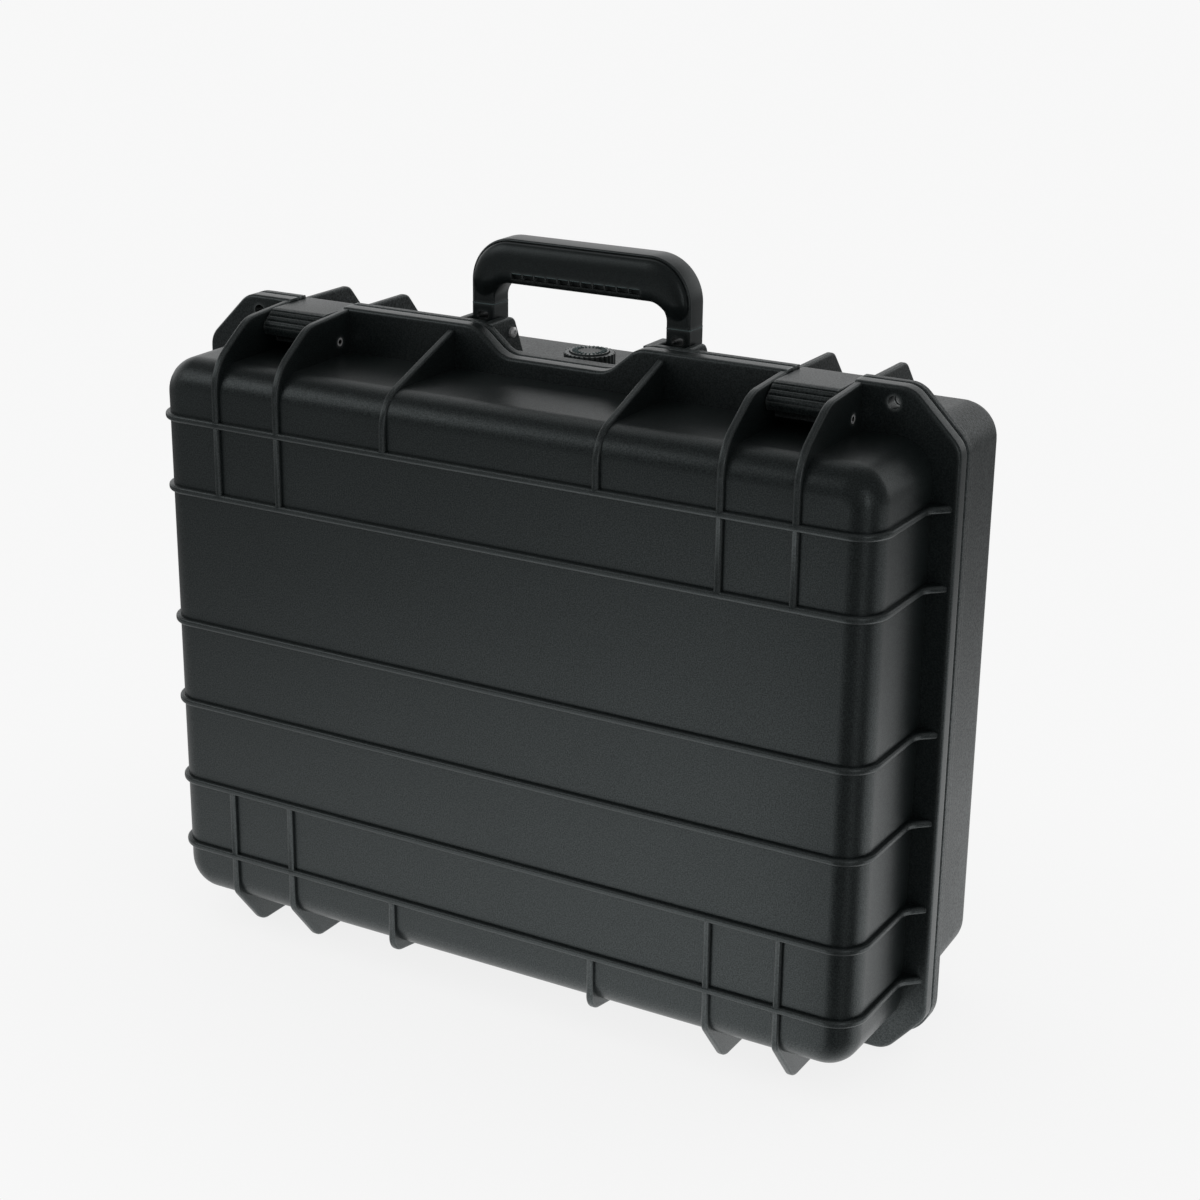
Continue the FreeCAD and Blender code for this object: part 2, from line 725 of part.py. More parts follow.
def make_cross_pin(name, side, line, height, radius, bore=None):
    """A steel pin along X, flush with the outer faces of a pair of uprights."""
    reach = "((bay_outer - bay_inner) / 2 + upright_width)"
    centre = ("%s * bay_middle - %s" % (side, reach), line, height)
    if not bore:
        return rod(name, "X", centre, radius, "2 * " + reach)
    hole = rod(name + "_hole", "X", ("%s - overrun" % centre[0], line, height), bore,
               "2 * %s + 2 * overrun" % reach)
    return cut(name, rod(name + "_bar", "X", centre, radius, "2 * " + reach), [hole])


def make_hinge_pin(word, side):
    """A steel pin through one hinge's five barrels."""
    return rod("hinge_pin_" + word, "X", (knuckle_start(side, 0), "parting", "hinge_z"), "hinge_pin_radius",
               "%d * knuckle_length + %d * knuckle_gap" % (KNUCKLES, KNUCKLES - 1))


def make_handle_pin(word, side):
    """A headed steel pin through the ears and one leg, its head on the inner ear."""
    head_face = "(leg_inner - ear_play - inner_ear)"
    far_face = "(leg_outer + ear_play + outer_ear)"
    start = head_face if side == "1" else "-" + far_face
    head_start = head_face + " - handle_pin_head_length" if side == "1" else "-" + head_face
    shank = rod("handle_shank_" + word, "X", (start, "handle_line", "handle_z"), "handle_pin_radius",
                "%s - %s" % (far_face, head_face))
    head = rod("handle_head_" + word, "X", (head_start, "handle_line", "handle_z"), "handle_pin_head",
               "handle_pin_head_length")
    return joined("handle_pin_" + word, [shank, head])


def bail(name, inset, foot, half_depth, edge=None):
    """A bar bent like the handle, set in from the grip's outline."""
    outline = mirrored([
        ("leg_inner + (%s)" % inset, foot),
        ("leg_outer - (%s)" % inset, foot),
        ("leg_outer - (%s)" % inset, "grip_top - (%s)" % inset, "grip_outer_round - (%s)" % inset),
    ])
    inner = [("-(leg_inner + (%s))" % inset, "grip_bottom + (%s)" % inset, "grip_inner_round"),
             ("leg_inner + (%s)" % inset, "grip_bottom + (%s)" % inset, "grip_inner_round")]
    return extruded(name, "XZ", "handle_line - (%s)" % half_depth, outline + inner,
                    "2 * (%s)" % half_depth, 1, near=edge, far=edge)


def make_handle_frame():
    """The hard core inside the grip and the two feet that turn on the pins."""
    pieces = [bail("frame_core", "core_inset", "seam_z - overrun", "core_half_depth")]
    tools = []
    for word, side in SIDES:
        corners = [
            ("handle_line - leg_half_depth", "handle_z - leg_half_depth", "leg_foot_round"),
            ("handle_line + leg_half_depth", "handle_z - leg_half_depth", "leg_foot_round"),
            ("handle_line + leg_half_depth", "seam_z"),
            ("handle_line - leg_half_depth", "seam_z"),
        ]
        low = "leg_inner" if side == "1" else "-leg_outer"
        pieces.append(extruded("frame_foot_" + word, "YZ", low, corners, "leg_outer - leg_inner",
                               near="leg_edge", far="leg_edge"))
        middle = side + " * (leg_inner + leg_outer) / 2"
        slot = box_outline("%s - slot_width / 2" % middle, "%s + slot_width / 2" % middle,
                           "slot_z - slot_height / 2", "slot_z + slot_height / 2",
                           "slot_height / 2 - leg_edge / 2")
        tools.append(extruded("frame_slot_" + word, "XZ", "handle_line - leg_half_depth + slot_depth", slot,
                              "slot_depth + overrun", -1))
        tools.append(handle_bore("frame_bore_" + word, side))
    return cut("handle_frame", joined("frame_solid", pieces), tools)


def make_handle_grip():
    """The grip moulded round the core, fuller in front and behind, with a row of finger notches."""
    band = bail("grip_band", "0", "seam_z", "leg_half_depth", "grip_edge")
    bulge = bail("grip_bulge", "bulge_inset", "bulge_foot", "bulge_half_depth", "bulge_edge")
    hollow = bail("grip_hollow", "core_inset", "seam_z - overrun", "core_half_depth")
    tools = [hollow]
    for number in range(NOTCHES):
        tools.append(block("grip_notch_%d" % number,
                           ("%d * notch_pitch - notch_width / 2" % (number - NOTCHES // 2),
                            "handle_line - bulge_half_depth - overrun",
                            "grip_bottom + bulge_inset + notch_drop"),
                           ("notch_width", "notch_depth + bulge_edge / 2 + overrun", "notch_height")))
    return cut("handle_grip", joined("grip_solid", [band, bulge]), tools)


def make_valve_body():
    """The bush through the base's top wall: collar, spigot, stem and vent bore."""
    return revolved("valve_body", "valve_line", [
        ("valve_bore", "boss_floor - nut_height - overrun"),
        ("valve_stem", "boss_floor - nut_height - overrun"),
        ("valve_stem", "washer_top"),
        ("valve_collar", "washer_top"),
        ("valve_collar", "collar_top"),
        ("valve_spigot", "collar_top"),
        ("valve_spigot", "spigot_top"),
        ("membrane_radius + running_gap", "spigot_top"),
        ("membrane_radius + running_gap", "spigot_top - membrane_depth"),
        ("valve_bore", "spigot_top - membrane_depth"),
    ])


def make_valve_membrane():
    """The breathing disc in the top of the bush."""
    return rod("valve_membrane", "Z", ("0", "valve_line", "spigot_top - membrane_depth"), "membrane_radius",
               "membrane_thickness")


def make_valve_seal():
    """The flat washer under the bush's collar."""
    hole = rod("valve_seal_hole", "Z", ("0", "valve_line", "boss_top - overrun"), "valve_washer_inner",
               "valve_washer + 2 * overrun")
    disc = rod("valve_seal_disc", "Z", ("0", "valve_line", "boss_top"), "valve_washer_outer", "valve_washer")
    return cut("valve_seal", disc, [hole])


def make_valve_nut():
    """The six-sided nut inside the case that clamps the bush."""
    prism = doc.addObject("Part::Prism", "valve_nut_prism")
    prism.Polygon = NUT_SIDES
    prism.setExpression("Circumradius", formula("nut_radius"))
    prism.setExpression("Height", formula("nut_height"))
    prism.setExpression("Placement.Base.y", formula("valve_line"))
    prism.setExpression("Placement.Base.z", formula("boss_floor - nut_height"))
    hole = rod("valve_nut_hole", "Z", ("0", "valve_line", "boss_floor - nut_height - overrun"),
               "valve_stem + running_gap", "nut_height + 2 * overrun")
    return cut("valve_nut", prism, [hole])


def polar_cut(body, name, plane, at, corners, depth, toward, count):
    """A pocket repeated round the body's upright axis."""
    _, _, normal = PLANES[plane]
    sketch = draw(body, plane, at, corners)
    pocket = body.newObject("PartDesign::Pocket", name)
    pocket.Profile = sketch
    pocket.Reversed = toward == normal
    pocket.setExpression("Length", formula(depth))
    pattern = body.newObject("PartDesign::PolarPattern", name + "s")
    pattern.Originals = [pocket]
    pattern.Axis = (next(feature for feature in body.Origin.OriginFeatures if feature.Role == "Z_Axis"), [""])
    pattern.Angle = FULL_TURN
    pattern.Occurrences = count
    body.Tip = pattern


def make_valve_knob():
    """The knurled cap: a cup over the spigot with a grooved rim and a disc ringed with ticks."""
    body = revolved("valve_knob", "valve_line", [
        ("0", "knob_ceiling"),
        ("knob_skirt", "knob_ceiling"),
        ("knob_skirt", "knob_floor"),
        ("knob_radius", "knob_floor"),
        ("knob_radius", "knob_rim"),
        ("knob_ring_inner", "knob_rim"),
        ("knob_ring_inner", "knob_rim - knob_groove"),
        ("knob_disc_radius", "knob_rim - knob_groove"),
        ("knob_disc_radius", "knob_top"),
        ("0", "knob_top"),
    ])
    polar_cut(body, "knurl", "XY", "knob_rim",
              box_outline("knob_radius - knurl_depth", "knob_radius + overrun",
                          "-knurl_width / 2", "knurl_width / 2"),
              "knob_rim - knob_floor", -1, KNURLS)
    polar_cut(body, "tick", "XY", "knob_top",
              box_outline("tick_inner", "tick_inner + tick_length", "-tick_width / 2", "tick_width / 2"),
              "tick_depth", -1, TICKS)
    return body


parts = [make_lid_shell(), make_lid_seal(), make_base_shell(), make_handle_frame(), make_handle_grip(),
         make_valve_body(), make_valve_knob(), make_valve_nut(), make_valve_seal(), make_valve_membrane()]
for word, side in SIDES:
    parts.append(make_latch(word, side))
    parts.append(make_cross_pin("latch_pin_" + word, side, "latch_line", "latch_pivot_z",
                                "latch_pin_radius"))
    parts.append(make_cross_pin("catch_pin_" + word, side, "catch_line", "catch_z",
                                "catch_radius", "catch_bore"))
    parts.append(make_handle_pin(word, side))
    parts.append(make_hinge_pin(word, side))
doc.recompute()

for item in doc.Objects:
    if "Invalid" in item.State or "Error" in item.State:
        raise RuntimeError("%s is not built: %s" % (item.Name, item.State))
os.makedirs("parts", exist_ok=True)
for part in parts:
    part.Label = part.Name
    shape = part.Shape
    if shape.isNull() or not shape.isValid() or len(shape.Solids) != 1:
        raise RuntimeError("%s is not one valid solid" % part.Label)
    shape.exportStep("parts/%s.step" % part.Label)
    print(part.Label, len(shape.Faces), "faces", round(shape.Volume), "mm3")
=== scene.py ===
import bmesh
import bpy
import json
import math
from mathutils import Matrix, Vector


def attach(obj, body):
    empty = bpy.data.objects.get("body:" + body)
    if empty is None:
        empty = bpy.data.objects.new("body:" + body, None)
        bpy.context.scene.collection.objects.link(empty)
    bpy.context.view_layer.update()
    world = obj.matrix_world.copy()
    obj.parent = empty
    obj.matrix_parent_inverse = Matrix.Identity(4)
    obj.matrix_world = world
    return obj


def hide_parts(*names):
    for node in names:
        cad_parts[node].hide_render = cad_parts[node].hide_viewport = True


# A moulded hard case, closed and standing on its hinge side.
# The scene is in metres: X along the case, Y from the lid to the base, Z up.
# Places and sizes of the pieces are written in millimetres and turned into metres by MM.
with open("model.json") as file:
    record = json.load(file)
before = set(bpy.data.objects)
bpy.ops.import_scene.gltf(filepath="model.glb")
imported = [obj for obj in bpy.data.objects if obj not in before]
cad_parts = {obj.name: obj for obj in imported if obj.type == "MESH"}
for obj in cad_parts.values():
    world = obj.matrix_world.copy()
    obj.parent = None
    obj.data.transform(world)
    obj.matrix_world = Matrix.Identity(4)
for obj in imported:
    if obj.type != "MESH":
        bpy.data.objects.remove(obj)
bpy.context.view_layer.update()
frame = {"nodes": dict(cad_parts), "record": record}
nodes = frame["nodes"]
scene = bpy.context.scene
MM = 0.001


# Shader helpers

def new_material(name):
    """An empty node material, its tree and its surface socket."""
    material = bpy.data.materials.new(name)
    material.use_nodes = True
    tree = material.node_tree
    tree.nodes.clear()
    output = tree.nodes.new("ShaderNodeOutputMaterial")
    return material, tree, output.inputs["Surface"]


def shader_node(tree, kind, inputs=None, **settings):
    """A node with its settings; each input is a plain value, or a socket that is linked to it."""
    made = tree.nodes.new(kind)
    for name, value in settings.items():
        setattr(made, name, value)
    for name, source in (inputs or {}).items():
        if isinstance(source, bpy.types.NodeSocket):
            tree.links.new(source, made.inputs[name])
        else:
            made.inputs[name].default_value = source
    return made


def grey(level, tint=(1.0, 1.0, 1.0)):
    """A colour of one lightness with a slight tint."""
    return (level * tint[0], level * tint[1], level * tint[2], 1.0)


def noise(tree, place, per_metre, detail=2.0, roughness=0.5):
    """Noise over the piece, so many lumps to a metre."""
    inputs = {"Vector": place, "Scale": per_metre, "Detail": detail, "Roughness": roughness}
    return shader_node(tree, "ShaderNodeTexNoise", inputs).outputs["Fac"]


def remap(tree, source, low, high, to_low, to_high):
    """A value taken from one span to another."""
    inputs = {"Value": source, "From Min": low, "From Max": high, "To Min": to_low, "To Max": to_high}
    return shader_node(tree, "ShaderNodeMapRange", inputs).outputs["Result"]


def calculate(tree, operation, *terms):
    """The result of one maths node on numbers and sockets."""
    return shader_node(tree, "ShaderNodeMath", dict(enumerate(terms)), operation=operation).outputs[0]


def along_line(tree, place, line):
    """How far a place lies along a line through the origin."""
    made = shader_node(tree, "ShaderNodeVectorMath", {0: place, 1: line}, operation="DOT_PRODUCT")
    return made.outputs["Value"]


def mix_colour(tree, share, first, second):
    """A blend of two colours; each is a colour or a socket."""
    made = shader_node(tree, "ShaderNodeMix", {"Factor": share, 6: first, 7: second}, data_type="RGBA")
    return made.outputs[2]


def mix_shader(tree, share, first, second):
    """A blend of two shaders."""
    return shader_node(tree, "ShaderNodeMixShader", {0: share, 1: first, 2: second}).outputs[0]


# Finishes

PLASTIC_TINT = (0.68, 1.0, 1.02)
EDGE_HIGHLIGHT_TINT = (0.92, 1.0, 1.0)
SHEEN_TINT = (0.90, 1.0, 1.01)
MOTTLE_PER_METRE = 14.0
MOTTLE_DARK = 0.9
MOTTLE_LIGHT = 1.12
TIP_LIGHT = 3.0
DULLNESS_SPREAD = 0.03
EDGE_REACH = 2.2
EDGE_SPAN = (0.45, 0.88)
EDGE_SHEEN = 0.90
EDGE_POLISH = -0.10
BORE_REACH = 4.0
BORE_SPAN = (0.45, 0.85)
BORE_PAINTED_SHADE = 0.010
REACH_SAMPLES = 6
STEEL_LINES = (60.0, 2400.0, 2400.0)
STEEL_DARK = 0.66
STEEL_LIGHT = 0.88
STEEL_METAL = 0.7


def outward_edge_nearness(tree):
    """How near a surface point is to an outward edge, from 0 to 1."""
    inside = shader_node(tree, "ShaderNodeAmbientOcclusion", {"Distance": EDGE_REACH * MM},
                         inside=True, only_local=True, samples=REACH_SAMPLES)
    return remap(tree, inside.outputs["AO"], EDGE_SPAN[0], EDGE_SPAN[1], 1.0, 0.0)


def moulded_plastic(name, shade, grain, depth, speckle, rough, specular, edge_highlight_tone=0.0):
    """Moulded plastic with a grain, a faint mottle, paler grain tips, and a painted highlight on outward edges
    where an edge tone is given.
    """
    material, tree, surface = new_material(name)
    place = shader_node(tree, "ShaderNodeTexCoord").outputs["Object"]
    fine = noise(tree, place, grain, 2.0, 0.55)
    mottle = noise(tree, place, MOTTLE_PER_METRE, 4.0, 0.6)
    body = mix_colour(tree, remap(tree, mottle, 0.3, 0.7, 0.0, 1.0),
                      grey(shade * MOTTLE_DARK, PLASTIC_TINT), grey(shade * MOTTLE_LIGHT, PLASTIC_TINT))
    tips = remap(tree, fine, 0.50, 0.66, 0.0, speckle)
    colour = mix_colour(tree, tips, body, grey(shade * TIP_LIGHT, PLASTIC_TINT))
    sheen = remap(tree, fine, 0.36, 0.64, specular * (1.0 - speckle), specular * (1.0 + speckle))
    dullness = remap(tree, mottle, 0.25, 0.75, rough - DULLNESS_SPREAD, rough + DULLNESS_SPREAD)
    # Painted highlight: outward edges take a paler colour, with more shine and less roughness there.
    if edge_highlight_tone:
        edge_highlight = calculate(tree, "MULTIPLY", outward_edge_nearness(tree), remap(tree, mottle, 0.3, 0.6, 0.6, 1.0))
        colour = mix_colour(tree, edge_highlight, colour, grey(edge_highlight_tone, EDGE_HIGHLIGHT_TINT))
        sheen = calculate(tree, "MULTIPLY_ADD", edge_highlight, EDGE_SHEEN, sheen)
        dullness = calculate(tree, "MULTIPLY_ADD", edge_highlight, EDGE_POLISH, dullness)
    bump = shader_node(tree, "ShaderNodeBump", {"Height": fine, "Strength": 1.0, "Distance": depth * MM})
    plastic = shader_node(tree, "ShaderNodeBsdfPrincipled",
                          {"Base Color": colour, "Roughness": dullness, "Normal": bump.outputs["Normal"],
                           "Specular IOR Level": sheen, "Specular Tint": grey(1.0, SHEEN_TINT)})
    tree.links.new(plastic.outputs["BSDF"], surface)
    return material


def drawn_steel(name):
    """Bare steel wire with fine lines along it, and painted shade in its bores."""
    material, tree, surface = new_material(name)
    place = shader_node(tree, "ShaderNodeTexCoord").outputs["Object"]
    along = shader_node(tree, "ShaderNodeMapping", {"Vector": place, "Scale": STEEL_LINES})
    lines = noise(tree, along.outputs["Vector"], 1.0)
    open_air = shader_node(tree, "ShaderNodeAmbientOcclusion", {"Distance": BORE_REACH * MM},
                           only_local=True, samples=REACH_SAMPLES)
    outside = remap(tree, open_air.outputs["AO"], BORE_SPAN[0], BORE_SPAN[1], 0.0, 1.0)
    bright = mix_colour(tree, lines, grey(STEEL_DARK), grey(STEEL_LIGHT))
    # Painted shade: the colour goes dark where the ambient occlusion finds a bore.
    colour = mix_colour(tree, outside, grey(BORE_PAINTED_SHADE), bright)
    dullness = remap(tree, lines, 0.2, 0.8, 0.32, 0.50)
    steel = shader_node(tree, "ShaderNodeBsdfPrincipled",
                        {"Base Color": colour, "Roughness": dullness, "Metallic": STEEL_METAL})
    tree.links.new(steel.outputs["BSDF"], surface)
    return material


# Grain is lumps to a metre, and depth is the grain's height in millimetres. The edge tone is the pale colour
# painted on outward edges as a highlight.
FINISHES = {
    "lid_plastic": moulded_plastic("lid_grain", shade=0.0045, grain=1500.0, depth=0.08, speckle=0.32,
                                   rough=0.34, specular=0.72, edge_highlight_tone=0.090),
    "base_plastic": moulded_plastic("base_grain", shade=0.0065, grain=900.0, depth=0.18, speckle=0.52,
                                    rough=0.42, specular=0.60, edge_highlight_tone=0.090),
    "latch_plastic": moulded_plastic("latch_grain", shade=0.0055, grain=1100.0, depth=0.12, speckle=0.50,
                                     rough=0.36, specular=0.57, edge_highlight_tone=0.045),
    "handle_plastic": moulded_plastic("handle_satin", shade=0.0038, grain=2200.0, depth=0.04, speckle=0.20,
                                      rough=0.32, specular=0.58, edge_highlight_tone=0.025),
    "grip_rubber": moulded_plastic("grip_satin", shade=0.0038, grain=2200.0, depth=0.04, speckle=0.20,
                                   rough=0.34, specular=0.62, edge_highlight_tone=0.022),
    "seal_rubber": moulded_plastic("seal_rubber", shade=0.0080, grain=2200.0, depth=0.03, speckle=0.04,
                                   rough=0.62, specular=0.40),
    "valve_plastic": moulded_plastic("valve_satin", shade=0.0070, grain=2400.0, depth=0.04, speckle=0.08,
                                     rough=0.40, specular=0.50, edge_highlight_tone=0.040),
    "membrane": moulded_plastic("membrane_weave", shade=0.70, grain=3200.0, depth=0.05, speckle=0.05,
                                rough=0.80, specular=0.20),
    "steel": drawn_steel("drawn_steel"),
}
# Painted highlight: a pale plastic for fine bars that stand for light lines on lips, seams and ticks.
PAINTED_HIGHLIGHT_PLASTIC = moulded_plastic("painted_highlight_line", shade=0.090, grain=2200.0, depth=0.03, speckle=0.10,
                             rough=0.40, specular=0.50)


# Pieces

SKIN_ANGLE = 32.0
GRIP_ANGLE = 38.0
DOME_ANGLE = 40.0
MERGE_GAP = 0.002
ALONG_Y = 1
ALONG_Z = 2


def alone(piece):
    """Selects one piece and nothing else."""
    bpy.ops.object.select_all(action="DESELECT")
    piece.select_set(True)
    bpy.context.view_layer.objects.active = piece


def finish_piece(piece, slot_name, body, node=None):
    """Gives a piece its finish and its body, and hides the part that it stands for."""
    piece.data.materials.clear()
    piece.data.materials.append(FINISHES[slot_name])
    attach(piece, body)
    if node:
        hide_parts(node)


def painted_highlight_bars(piece, slot_name, body):
    """Gives fine bars a pale tone that paints a highlight line on them."""
    finish_piece(piece, slot_name, body)
    piece.data.materials.clear()
    piece.data.materials.append(PAINTED_HIGHLIGHT_PLASTIC)


def smooth_skin(node, slot_name, body):
    """A merged, smoothly shaded copy of a part that stands for it."""
    piece = bpy.data.objects.new(node + "_skin", nodes[node].data.copy())
    scene.collection.objects.link(piece)
    alone(piece)
    bpy.ops.mesh.customdata_custom_splitnormals_clear()
    bpy.ops.object.mode_set(mode="EDIT")
    bpy.ops.mesh.select_all(action="SELECT")
    bpy.ops.mesh.remove_doubles(threshold=MERGE_GAP * MM)
    bpy.ops.object.mode_set(mode="OBJECT")
    bpy.ops.object.shade_smooth_by_angle(angle=math.radians(SKIN_ANGLE))
    finish_piece(piece, slot_name, body, node)
    return piece


def sink(piece, cutter):
    """Takes one shape out of a piece."""
    alone(piece)
    hollow = piece.modifiers.new("hollow", "BOOLEAN")
    hollow.operation = "DIFFERENCE"
    hollow.object = cutter
    bpy.ops.object.modifier_apply(modifier=hollow.name)
    bpy.data.objects.remove(cutter)


def rounded_block(place, size, axis, corner, steps):
    """A block with a round on each of its four edges along one axis."""
    bpy.ops.object.select_all(action="DESELECT")
    bpy.ops.mesh.primitive_cube_add(size=1.0, location=tuple(length * MM for length in place))
    block = bpy.context.active_object
    block.scale = tuple(length * MM for length in size)
    bpy.ops.object.transform_apply(location=True, rotation=True, scale=True)
    bpy.ops.object.mode_set(mode="EDIT")
    bpy.ops.mesh.select_all(action="DESELECT")
    bpy.ops.object.mode_set(mode="OBJECT")
    for edge in block.data.edges:
        start, end = (block.data.vertices[number].co for number in edge.vertices)
        edge.select = abs(start[axis] - end[axis]) > 0.5 * size[axis] * MM
    bpy.ops.object.mode_set(mode="EDIT")
    bpy.ops.mesh.select_mode(type="EDGE")
    bpy.ops.mesh.bevel(offset=corner * MM, segments=steps, affect="EDGES")
    bpy.ops.object.mode_set(mode="OBJECT")
    return block


def joined_bars(name, places, size, edge):
    """Small bars with bevelled edges, one at each place and turn about Z, as one piece."""
    bars = []
    for place, turn in places:
        bpy.ops.object.select_all(action="DESELECT")
        bpy.ops.mesh.primitive_cube_add(size=1.0, location=tuple(length * MM for length in place),
                                        rotation=(0.0, 0.0, turn))
        bar = bpy.context.active_object
        bar.scale = tuple(length * MM for length in size)
        bars.append(bar)
    alone(bars[0])
    for bar in bars:
        bar.select_set(True)
    bpy.ops.object.transform_apply(location=True, rotation=True, scale=True)
    bpy.ops.object.join()
    piece = bpy.context.active_object
    piece.name = name
    bpy.ops.object.mode_set(mode="EDIT")
    bpy.ops.mesh.select_all(action="SELECT")
    bpy.ops.mesh.bevel(offset=edge * MM, segments=2, affect="EDGES")
    bpy.ops.object.mode_set(mode="OBJECT")
    return piece


# Grip: a flat band bent like a bail, with a full pad on its front and back that ends in a round on each leg

HANDLE_LINE = 14.0
LEG_INNER = 53.6
LEG_OUTER = 67.8
LEG_MIDDLE = (LEG_INNER + LEG_OUTER) / 2.0
GRIP_TOP = 414.5
GRIP_BOTTOM = 390.0
GRIP_SEAM = 377.0
OUTER_ROUND = 25.0
INNER_ROUND = 10.0
BAND_DEPTH = 7.8
BAND_EDGE = 1.2
PAD_INSET = 1.5
PAD_RISE = 4.6
PAD_ROUND = 10.5
PAD_FULLNESS = 2.1
PAD_FOOT = 381.0
PAD_FOOT_ROUND = 9.0
PAD_FADE = 11.0
CREASE_DEPTH = 0.5
CREASE_HALF = 0.4
LEG_STEPS = 22
BEND_STEPS = 48
BAR_STEPS = 90
PAD_STEPS = 28
EDGE_STEPS = 5
CELLS = 11
CELL_PITCH = 7.3
CELL_SIZE = (6.5, 6.0, 3.2)
CELL_HEIGHT = 395.2
CELL_FLOOR = 8.4
CELL_EDGE = 0.25
LIP_SIZE = (5.8, 0.6, 0.34)
LIP_EDGE = 0.085


def bail_depth(x, z, half, top, corner):
    """How far a point lies inside an arch outline, below zero outside it."""
    across = abs(x) - (half - corner)
    above = z - (top - corner)
    return corner - math.hypot(max(across, 0.0), max(above, 0.0)) - min(max(across, above), 0.0)


def grip_fullness(x, z):
    """Half the grip's depth at a point of its outline."""
    to_outer = bail_depth(x, z, LEG_OUTER, GRIP_TOP, OUTER_ROUND)
    to_inner = -bail_depth(x, z, LEG_INNER, GRIP_BOTTOM, INNER_ROUND)
    short = max(BAND_EDGE - max(min(to_outer, to_inner), 0.0), 0.0)
    depth = BAND_DEPTH - BAND_EDGE + math.sqrt(BAND_EDGE ** 2 - short ** 2)
    inward = min(to_outer - PAD_INSET, to_inner)
    upward = z - PAD_FOOT
    blend = max(PAD_FOOT_ROUND - abs(inward - upward), 0.0) / PAD_FOOT_ROUND
    inward = min(inward, upward) - blend ** 2 * PAD_FOOT_ROUND / 4.0
    if inward > 0.0:
        left = 1.0 - min(inward / PAD_ROUND, 1.0)
        fade = math.sin(0.5 * math.pi * min(upward / PAD_FADE, 1.0))
        depth += PAD_RISE * fade * (1.0 - left ** PAD_FULLNESS) ** (1.0 / PAD_FULLNESS)
    return depth - CREASE_DEPTH * math.exp(-((to_outer - PAD_INSET) / CREASE_HALF) ** 2)


def grip_stations():
    """Pairs of points on the inner and the outer outline, from the left foot to the right one."""
    right = []
    for step in range(LEG_STEPS):
        share = step / LEG_STEPS
        right.append(((LEG_INNER, GRIP_SEAM + share * (GRIP_BOTTOM - INNER_ROUND - GRIP_SEAM)),
                      (LEG_OUTER, GRIP_SEAM + share * (GRIP_TOP - OUTER_ROUND - GRIP_SEAM))))
    for step in range(BEND_STEPS + 1):
        turn = math.radians(90.0 * step / BEND_STEPS)
        right.append(tuple((reach - corner + corner * math.cos(turn), top - corner + corner * math.sin(turn))
                           for reach, top, corner in ((LEG_INNER, GRIP_BOTTOM, INNER_ROUND),
                                                      (LEG_OUTER, GRIP_TOP, OUTER_ROUND))))
    left = [tuple((-x, z) for x, z in pair) for pair in right]
    bar = []
    for step in range(1, BAR_STEPS):
        share = step / BAR_STEPS
        bar.append(tuple((a[0] + share * (b[0] - a[0]), a[1]) for a, b in zip(left[-1], right[-1])))
    return left + bar + right[::-1]


def grip_shares(width):
    """Places across the grip, close together at the pad's edges and round the band's edge."""
    pad = width - PAD_INSET
    places = [pad * (1.0 - math.cos(math.pi * step / PAD_STEPS)) / 2.0 for step in range(PAD_STEPS + 1)]
    places.append(pad + (PAD_INSET - BAND_EDGE) / 2.0)
    places += [width - BAND_EDGE * (1.0 - math.sin(math.radians(90.0 * step / EDGE_STEPS)))
               for step in range(EDGE_STEPS + 1)]
    return [place / width for place in places]


def cell_row(depth, height):
    """The place of each cell at one depth and height, and no turn."""
    return [(((number - CELLS // 2) * CELL_PITCH, depth, height), 0.0) for number in range(CELLS)]


def make_grip():
    """The grip, swept along the bail, with a row of cells sunk into the lower edge of its front."""
    mesh = bpy.data.meshes.new("grip")
    shape = bmesh.new()
    rings = []
    for inner, outer in grip_stations():
        front, behind = [], []
        for share in grip_shares(math.dist(inner, outer)):
            x = inner[0] + share * (outer[0] - inner[0])
            z = inner[1] + share * (outer[1] - inner[1])
            depth = grip_fullness(x, z)
            front.append(shape.verts.new((x * MM, (HANDLE_LINE - depth) * MM, z * MM)))
            behind.append(shape.verts.new((x * MM, (HANDLE_LINE + depth) * MM, z * MM)))
        rings.append(front + behind[::-1])
    for near, far in zip(rings, rings[1:]):
        for place in range(len(near)):
            after = (place + 1) % len(near)
            shape.faces.new((near[place], near[after], far[after], far[place]))
    shape.faces.new(rings[0])
    shape.faces.new(rings[-1])
    bmesh.ops.recalc_face_normals(shape, faces=shape.faces)
    shape.to_mesh(mesh)
    shape.free()
    grip = bpy.data.objects.new("grip", mesh)
    scene.collection.objects.link(grip)
    cells = cell_row(HANDLE_LINE - CELL_FLOOR - CELL_SIZE[1] / 2.0, CELL_HEIGHT)
    sink(grip, joined_bars("cells", cells, CELL_SIZE, CELL_EDGE))
    bpy.ops.object.shade_smooth_by_angle(angle=math.radians(GRIP_ANGLE))
    finish_piece(grip, "grip_rubber", "handle", "handle_grip")


def make_cell_lip_highlights():
    """The upper lip of each cell in the grip's front, as a pale bar that paints a highlight along it."""
    height = CELL_HEIGHT + CELL_SIZE[2] / 2.0 - LIP_SIZE[2] / 2.0
    depth = HANDLE_LINE - grip_fullness(0.0, height) + LIP_SIZE[1] / 2.0
    painted_highlight_bars(joined_bars("cell_lip_highlights", cell_row(depth, height), LIP_SIZE, LIP_EDGE), "grip_rubber", "handle")


# Handle feet, their seams and pins

